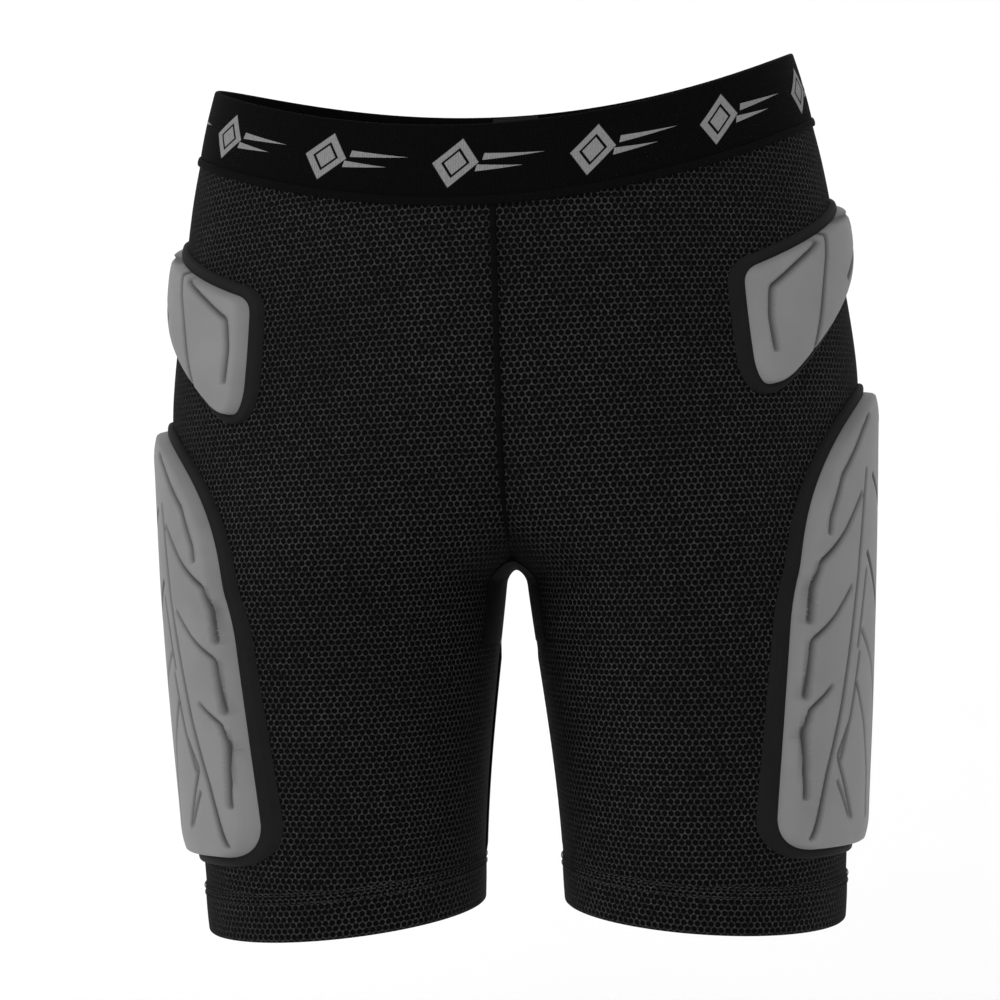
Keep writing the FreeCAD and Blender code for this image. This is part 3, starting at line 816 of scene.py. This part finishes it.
# Spacing of the mesh of each layer.
SKIN_MESH = 1.6
CORE_MESH = 4
LINING_MESH = 5
BACK_MESH = 9
PADS = {
    "hip": dict(turn=20, corner=14, core=5.2, top=8.6, fall=12),
    "thigh": dict(turn=15, corner=22, core=6.2, top=10.8, fall=14),
    "tail": dict(turn=None, corner=14, core=6.2, top=9.9, fall=14),
}
HIP_CORNERS = [(-38, 331), (-38, 253), (72, 343), (112, 346), (106, 381), (50, 367)]
TAIL_CORNERS = [(-34, 344), (-52, 318), (-26, 236), (26, 236), (52, 318), (34, 344)]
THIGH_NOSE = -50
THIGH_HEEL = 100
THIGH_SWEEP = 120
THIGH_CROWN = 45
THIGH_SHOULDER = 154
THIGH_FOOT = (31, 41)
TAIL_CLEFT = 10


def thigh_line():
    """Straight front edge, a long sweep up and back, a tight crown, a straight back edge and a flat foot."""
    turn = math.acos((THIGH_HEEL - THIGH_CROWN - THIGH_NOSE - THIGH_SWEEP) / (THIGH_SWEEP - THIGH_CROWN))
    sweep_x = THIGH_NOSE + THIGH_SWEEP
    crown_x = sweep_x + math.cos(turn) * (THIGH_SWEEP - THIGH_CROWN)
    crown_z = THIGH_SHOULDER + math.sin(turn) * (THIGH_SWEEP - THIGH_CROWN)
    line = [(THIGH_HEEL, THIGH_FOOT[0])]
    for a in np.linspace(0, turn, 30):
        line.append((crown_x + THIGH_CROWN * math.cos(a), crown_z + THIGH_CROWN * math.sin(a)))
    for a in np.linspace(turn, math.pi, 30)[1:]:
        line.append((sweep_x + THIGH_SWEEP * math.cos(a), THIGH_SHOULDER + THIGH_SWEEP * math.sin(a)))
    line.append((THIGH_NOSE, THIGH_FOOT[1]))
    return line


def round_corners(line, radius):
    """A closed line with its sharp corners rounded."""
    line = np.array(line, float)
    result = []
    for i, corner in enumerate(line):
        back = line[i - 1] - corner
        on = line[(i + 1) % len(line)] - corner
        back_long = np.linalg.norm(back)
        on_long = np.linalg.norm(on)
        turn = math.pi - math.acos(np.clip(back @ on / back_long / on_long, -1, 1))
        if turn < math.radians(10):
            result.append(corner)
            continue
        reach = min(radius * math.tan(turn / 2), 0.48 * back_long, 0.48 * on_long)
        first = corner + back / back_long * reach
        last = corner + on / on_long * reach
        for f in np.linspace(0, 1, 12):
            blend = (1 - f) ** 2 * first + f * f * last + 2 * f * (1 - f) * corner
            arc = first + (last - first) * f
            result.append(0.86 * blend + 0.14 * arc)
    return np.array(result)


def spaced(line, spacing):
    """A closed line resampled evenly, going round anticlockwise."""
    line = np.asarray(line, float)
    closed = np.concatenate([line, line[:1]])
    area = np.sum(closed[:-1, 0] * closed[1:, 1] - closed[1:, 0] * closed[:-1, 1])
    if area < 0:
        closed = closed[::-1]
    run = lengths_along(closed)
    count = max(12, round(run[-1] / spacing))
    at = np.linspace(0, run[-1], count + 1)[:-1]
    return np.stack([np.interp(at, run, closed[:, 0]), np.interp(at, run, closed[:, 1])], axis=-1)


def moved_in(line, distance):
    """A closed anticlockwise line moved inwards."""
    along = np.roll(line, -1, axis=0) - np.roll(line, 1, axis=0)
    along /= np.linalg.norm(along, axis=1)[:, None]
    return line + np.stack([-along[:, 1], along[:, 0]], axis=-1) * distance


def pad_line(kind):
    """The outer outline of a pad."""
    line = {"hip": HIP_CORNERS, "tail": TAIL_CORNERS}.get(kind) or thigh_line()
    return spaced(round_corners(line, PADS[kind]["corner"]), 1.3)


def nearest_on(points, line, closed=False):
    """Each point's distance to a line, which side of it it is on, and how far along it that is."""
    line = np.asarray(line, float)
    ends = np.concatenate([line, line[:1]]) if closed else line
    starts = ends[:-1]
    steps = np.diff(ends, axis=0)
    longs = np.linalg.norm(steps, axis=1)
    run = np.concatenate([[0], np.cumsum(longs)])
    best = np.full(len(points), np.inf)
    side = np.ones(len(points))
    along = np.zeros(len(points))
    for i in range(len(starts)):
        rel = points - starts[i]
        f = np.clip(rel @ steps[i] / longs[i] ** 2, 0, 1)
        off = rel - f[:, None] * steps[i]
        distance = np.linalg.norm(off, axis=1)
        closer = distance < best
        best = np.where(closer, distance, best)
        cross = steps[i][0] * rel[:, 1] - steps[i][1] * rel[:, 0]
        side = np.where(closer, np.sign(cross), side)
        along = np.where(closer, run[i] + f * longs[i], along)
    return best, side, along


def on_pad(kind, points, out):
    """Points of a pad's plane, (across, up), laid on the form at a distance off the cloth."""
    across = points[:, 0] + PADS[kind].get("shift", 0)
    level = points[:, 1]
    mid_x, reach_x, mid_y, reach_y = section(level)
    turn = PADS[kind]["turn"]
    if turn is None:
        soft = np.sqrt(across ** 2 + TAIL_CLEFT ** 2)
        y = mid_y + (reach_y + out) * np.sqrt(1 - ((soft - mid_x) / (reach_x + out)) ** 2)
        return np.stack([across, y, level], axis=-1)
    turn = math.radians(turn)
    a = (reach_x + out) * math.sin(turn)
    b = (reach_y + out) * math.cos(turn)
    middle = mid_x * math.sin(turn) + mid_y * math.cos(turn)
    angle = np.arccos(np.clip((across - middle) / np.hypot(a, b), -1, 1)) - np.arctan2(b, a)
    return surface(angle, level, out)


# ---------------------------------------------------------------- grooves of the moulded skins
# Each groove: points (across, up) on the pad's plane, depth, and the width of its slope on either side.
THIGH_GROOVES = [
    ([(24, 256), (11, 247), (-14, 225), (-27.5, 205), (-31, 196)], 2.0, 1.3, 2.4),
    ([(3, 217), (-19, 198), (-38, 184), (-42, 172), (-43, 154)], 2.3, 1.3, 2.8),
    ([(-15, 172), (-29, 158), (-42, 147), (-43, 118)], 2.3, 1.3, 2.8),
    ([(-29, 125), (-41, 114), (-43, 104), (-41, 70)], 2.3, 1.3, 2.8),
    ([(11, 229), (-7, 185), (-15, 147), (-22, 114), (-31, 82), (-37, 50)], 2.6, 1.5, 2.2),
    ([(3, 180), (-5, 152), (-8, 140)], 1.6, 1.1, 1.6),
    ([(-5, 140), (-13, 110), (-22, 86)], 1.6, 1.1, 1.6),
    ([(-9, 126), (4, 103), (12, 79), (13, 55)], 2.0, 1.3, 2.4),
    ([(-14, 107), (-24, 90), (-8, 57)], 1.8, 1.2, 2.0),
    ([(-24, 79), (-11, 58)], 1.4, 1.1, 1.6),
    ([(20, 226), (46, 206), (60, 182), (62, 150)], 2.3, 1.3, 2.8),
    ([(4, 188), (30, 160), (45, 134), (48, 98)], 2.3, 1.3, 2.8),
    ([(-4, 150), (14, 134), (28, 112), (31, 72)], 2.3, 1.3, 2.8),
    ([(44, 254), (72, 236), (89, 206), (90, 130), (89, 60)], 2.0, 1.3, 2.4),
    ([(48, 92), (46, 64), (38, 46)], 2.0, 1.3, 2.2),
    ([(66, 134), (70, 100), (66, 54)], 2.0, 1.3, 2.2),
]
HIP_GROOVES = [
    ([(18, 357), (15, 348), (9, 330), (2, 308), (-5, 288), (-8, 280)], 2.2, 1.3, 2.2),
    ([(8, 343), (-12, 330), (-27, 319), (-28.6, 304), (-28, 286)], 2.0, 1.3, 3.0),
    ([(27, 354), (54, 360), (90, 370), (98, 363), (97, 354), (68, 351), (44, 334), (31, 324)], 1.8, 1.3, 2.6),
    ([(52, 357), (62, 352)], 1.4, 1.1, 1.6),
]
TAIL_GROOVES = [
    ([(0, 336), (0, 300), (0, 250)], 2.2, 2.0, 4.0),
    ([(-36, 318), (-20, 304), (-8, 276), (-7, 252)], 2.0, 1.8, 5.0),
    ([(36, 318), (20, 304), (8, 276), (7, 252)], 2.0, 1.8, 5.0),
    ([(-24, 334), (-12, 326), (-6, 312)], 1.8, 1.8, 3.0),
    ([(24, 334), (12, 326), (6, 312)], 1.8, 1.8, 3.0),
]
GROOVES = {"hip": HIP_GROOVES, "thigh": THIGH_GROOVES, "tail": TAIL_GROOVES}
GROOVE_END = 3
GROOVE_SHADE = 1.5


def softened(line):
    """A groove's line with its corners eased, close enough to follow."""
    line = np.array(line, float)
    run = lengths_along(line)
    at = np.linspace(0, run[-1], max(3, round(run[-1] / 1.2)))
    even = np.stack([np.interp(at, run, line[:, 0]), np.interp(at, run, line[:, 1])], axis=-1)
    for _ in range(3):
        even[1:-1] = (even[:-2] + 2 * even[1:-1] + even[2:]) / 4
    return even


def relief(kind, points):
    """How deep the grooves are at each point, and how shaded: a steep side and a longer slope inside."""
    middle = pad_line(kind).mean(axis=0)
    depth = np.zeros(len(points))
    shade = np.zeros(len(points))
    for line, deep, steep, slope in GROOVES[kind]:
        line = softened(line)
        distance, side, along = nearest_on(points, line)
        inner_side = nearest_on(middle[None], line)[1][0]
        width = np.where(side == inner_side, slope, steep)
        fall = np.clip(1 - distance / width, 0, 1)
        shape = np.where(side == inner_side, fall ** 1.6, fall * fall * (3 - 2 * fall))
        whole = lengths_along(line)[-1]
        ends = np.clip(along / GROOVE_END, 0, 1) * np.clip((whole - along) / GROOVE_END, 0, 1)
        depth = np.maximum(depth, deep * shape * np.sqrt(ends))
        shade = np.maximum(shade, np.clip(1.3 - distance / GROOVE_SHADE, 0, 1) * np.sqrt(ends) * deep / 2.3)
    return depth, shade


def dome(edge, fall):
    """From 0 at a pad's edge to 1 well inside it: a rolled edge, then a gentle rise."""
    roll = np.sqrt(1 - (1 - np.clip(edge / 2.2, 0, 1)) ** 2)
    rise = 1 - (1 - np.clip(edge / fall, 0, 1)) ** 2
    return 0.68 * roll + 0.32 * rise


def thinned(groups, gap):
    """Groups of points in order of importance, without any that crowd an earlier one."""
    kept = []
    cells = {}
    for points in groups:
        for x, y in points:
            cell = (math.floor(x / gap), math.floor(y / gap))
            near = [cells.get((cell[0] + i, cell[1] + j)) for i in (-1, 0, 1) for j in (-1, 0, 1)]
            if any(p and (p[0] - x) ** 2 + (p[1] - y) ** 2 < gap * gap for p in near):
                continue
            cells[cell] = (x, y)
            kept.append((x, y))
    return kept


def lattice(line, spacing, margin):
    """Points of a triangular lattice inside a closed line."""
    low = line.min(axis=0)
    high = line.max(axis=0)
    rows = np.arange(low[1], high[1], spacing * math.sqrt(3) / 2)
    points = []
    for i, y in enumerate(rows):
        shift = spacing / 2 if i % 2 else 0
        for x in np.arange(low[0] + shift, high[0], spacing):
            points.append((x, y))
    points = np.array(points)
    distance, side, along = nearest_on(points, line, True)
    return points[(side > 0) & (distance > margin)]


def filled(line, inside):
    """Triangles that fill a closed line, through the points inside it: points, triangles and the rim."""
    count = len(line)
    given = [tuple(p) for p in line] + [tuple(p) for p in inside]
    result = delaunay_2d_cdt([Vector(p) for p in given], [], [list(range(count))], 1, 1e-4)
    points = np.array([tuple(p) for p in result[0]])
    number = {old: new for new, olds in enumerate(result[3]) for old in olds}
    return points, [tuple(face) for face in result[2]], [number[i] for i in range(count)]


# Lines of points inside a moulded edge and beside each groove, and the least distances kept between points.
EDGE_LINES = (0.3, 0.7, 1.2, 1.8, 2.6)
GROOVE_LINES = (0, -0.7, 0.7, -1.4, 1.4, -2.6, 2.6)
CLOSEST = 0.55
EDGE_CLEAR = 0.35
# The plain back of a pad keeps its inner points this far from the edge.
BACK_MARGIN = 5


def pad_solid(name, kind, line, fine, top, bottom, side=1, grooved=False):
    """A closed pad that fills a line: a finely meshed top and a plain back, sewn together at the edge."""
    inner = [moved_in(line, d) for d in EDGE_LINES] if grooved else []
    groups = [line] + inner
    if grooved:
        for groove, *_ in GROOVES[kind]:
            middle = softened(groove)
            along = np.gradient(middle, axis=0)
            along /= np.linalg.norm(along, axis=1)[:, None]
            across = np.stack([-along[:, 1], along[:, 0]], axis=-1)
            for off in GROOVE_LINES:
                groups.append(middle + across * off)
    groups.append(lattice(line, fine, fine * 0.6))
    near = thinned([tuple(map(tuple, g)) for g in groups], CLOSEST)[len(line):] if grooved else groups[-1]
    near = np.array(near)
    distance, inside, along = nearest_on(near, line, True)
    near = near[(inside > 0) & (distance > EDGE_CLEAR)]
    front, front_faces, front_rim = filled(line, near)
    back, back_faces, back_rim = filled(line, lattice(line, BACK_MESH, BACK_MARGIN))
    count = len(line)
    points = np.concatenate([on_pad(kind, front, top(front)), on_pad(kind, back, bottom(back))])
    faces = list(front_faces)
    faces += [tuple(len(front) + v for v in face) for face in back_faces]
    for i in range(count):
        j = (i + 1) % count
        faces.append((front_rim[i], front_rim[j], len(front) + back_rim[j], len(front) + back_rim[i]))
    places = np.concatenate([front, back])
    # Painted shade along the skin's grooves; the plain back gets none.
    painted_groove_shade = np.concatenate([relief(kind, front)[1], np.zeros(len(back))]) if grooved else None
    return new_piece(name, points, faces, side, places[np.concatenate(faces)], painted_groove_shade)


def edge_of(line, points):
    """How far each point is from a pad's edge."""
    return nearest_on(points, line, True)[0]


# ---------------------------------------------------------------- pads
def make_pad(kind, label):
    """One kind of pad: binding, foam core, moulded skin and lining, on both sides where it is a pair."""
    facts = PADS[kind]
    outline = pad_line(kind)
    skin_line = spaced(moved_in(outline, BINDING_WIDTH - SKIN_LAP), 1.2)
    core_line = spaced(moved_in(outline, BINDING_WIDTH + 3), 2.5)
    lining_line = spaced(moved_in(outline, 2.5), 3)
    rise = facts["top"] - SKIN_EDGE

    def skin_top(points):
        return SKIN_EDGE + rise * dome(edge_of(skin_line, points), facts["fall"]) - relief(kind, points)[0]

    def skin_back(points):
        return SKIN_BACK + (facts["core"] - SKIN_BACK) * dome(edge_of(skin_line, points), facts["fall"])

    def core_top(points):
        return 0.5 + (facts["core"] - SKIN_BACK) * dome(edge_of(skin_line, points), facts["fall"])

    def flat_at(out):
        return lambda points: np.full(len(points), out)

    hands = {"": 1} if facts["turn"] is None else SIDES
    for hand, side in hands.items():
        ending = f"_{hand}" if hand else ""
        facts["shift"] = PAD_SHIFTS[kind][hand] if hand else 0
        skin = pad_solid(f"{label}_skin{ending}", kind, skin_line, SKIN_MESH, skin_top, skin_back, side, True)
        dress(skin, f"{label}_shell{ending}", PAD_SKIN)
        under = flat_at(CORE_BACK)
        core = pad_solid(f"{label}_core{ending}", kind, core_line, CORE_MESH, core_top, under, side)
        dress(core, f"{label}_foam{ending}", FOAM)
        faces = [flat_at(out) for out in LINING_FACES]
        back = pad_solid(f"{label}_backing{ending}", kind, lining_line, LINING_MESH, *faces, side)
        dress(back, f"{label}_lining{ending}", LINING)
        make_binding(kind, label, ending, side, outline)


def make_binding(kind, label, ending, side, outline):
    """The smooth border round a pad, full in the middle and tucked under the moulded skin."""
    width = BINDING_WIDTH + BINDING_TUCK
    # From the outer edge inwards: how far in, and how far off the cloth.
    profile = [(0.0, 0.1), (0.05, 1.0), (0.4, 1.9), (1.1, 2.5), (2.2, 2.8), (3.4, 2.85), (4.6, 2.7),
               (5.6, 2.1), (6.4, 1.5), (width, 1.3), (width, 0.3), (4, 0.1)]
    rings = []
    for inward, out in profile:
        line = moved_in(outline, inward)
        rings.append(on_pad(kind, line, np.full(len(line), float(out))))
    closed = np.concatenate([outline, outline[:1]])
    around = lengths_along(closed)
    piece = hoop(f"{label}_edging{ending}", np.stack(rings), [p[0] for p in profile], around, side)
    dress(piece, f"{label}_binding{ending}", BINDING)


# ---------------------------------------------------------------- the studio
FLOOR_LEVEL = -0.9
VIEW_TURN = math.radians(4)
VIEW_ROLL = math.radians(1.6)
VIEW_FAR = 1.2
VIEW_LEVEL = -0.203
VIEW_ASIDE = -0.00795
LENS = 81.5


def make_floor():
    """A pale floor that curves up into a pale wall behind."""
    profile = [(-4.0, 0.0), (1.6, 0.0)]
    for a in np.linspace(0, QUARTER, 9)[1:]:
        profile.append((1.6 + 1.2 * math.sin(a), 1.2 - 1.2 * math.cos(a)))
    profile.append((2.8, 4.0))
    points = [(x, y, FLOOR_LEVEL + z) for y, z in profile for x in (-4.0, 4.0)]
    faces = [(2 * i, 2 * i + 1, 2 * i + 3, 2 * i + 2) for i in range(len(profile) - 1)]
    mesh = bpy.data.meshes.new("studio_floor")
    mesh.from_pydata(points, [], faces)
    mesh.shade_smooth()
    floor = bpy.data.objects.new("studio_floor", mesh)
    bpy.context.collection.objects.link(floor)
    material, net, shader = finish_of("pale_floor", 0.9, 0.1)
    place = net.solid_place()
    soft = net.noise(place, 3.0)
    net.tree.links.new(net.mix(soft, grey(0.95), grey(0.97)), shader.inputs["Base Color"])
    mesh.materials.append(material)


def make_light(name, place, size, power, aim=(0, 0, -0.2)):
    data = bpy.data.lights.new(name, "AREA")
    data.shape = "SQUARE"
    data.size = size
    data.energy = power
    light = bpy.data.objects.new(name, data)
    bpy.context.collection.objects.link(light)
    light.location = place
    light.rotation_euler = (Vector(aim) - Vector(place)).to_track_quat("-Z", "Y").to_euler()


def make_studio():
    """Even white surroundings with a soft key from the viewer's left."""
    world = bpy.data.worlds.new("studio")
    world.use_nodes = True
    world.node_tree.nodes["Background"].inputs[0].default_value = grey(1.0)
    world.node_tree.nodes["Background"].inputs[1].default_value = 0.85
    bpy.context.scene.world = world
    make_light("key_left", (-2.6, -1.6, 1.0), 1.8, 48)
    make_light("fill_right", (2.4, -1.6, 0.6), 2.0, 15)
    bpy.context.scene.view_settings.view_transform = "Standard"


def make_camera():
    data = bpy.data.cameras.new("view")
    data.lens = LENS
    data.sensor_width = 36
    camera = bpy.data.objects.new("view", data)
    bpy.context.collection.objects.link(camera)
    aside = Vector((math.cos(VIEW_TURN), math.sin(VIEW_TURN), 0))
    back = Vector((math.sin(VIEW_TURN), -math.cos(VIEW_TURN), 0))
    rise = Vector((0, 0, 1))
    right = aside * math.cos(VIEW_ROLL) - rise * math.sin(VIEW_ROLL)
    up = aside * math.sin(VIEW_ROLL) + rise * math.cos(VIEW_ROLL)
    place = back * VIEW_FAR + rise * VIEW_LEVEL + aside * VIEW_ASIDE
    camera.matrix_world = Matrix((right, up, back)).transposed().to_4x4()
    camera.location = place
    bpy.context.scene.camera = camera


# ---------------------------------------------------------------- build
make_panels()
make_gusset()
make_waistband()
make_hems()
make_seams()
make_tapes()
make_pad("hip", "hip_pad")
make_pad("thigh", "thigh_pad")
make_pad("tail", "tailbone_pad")
make_floor()
make_studio()
make_camera()
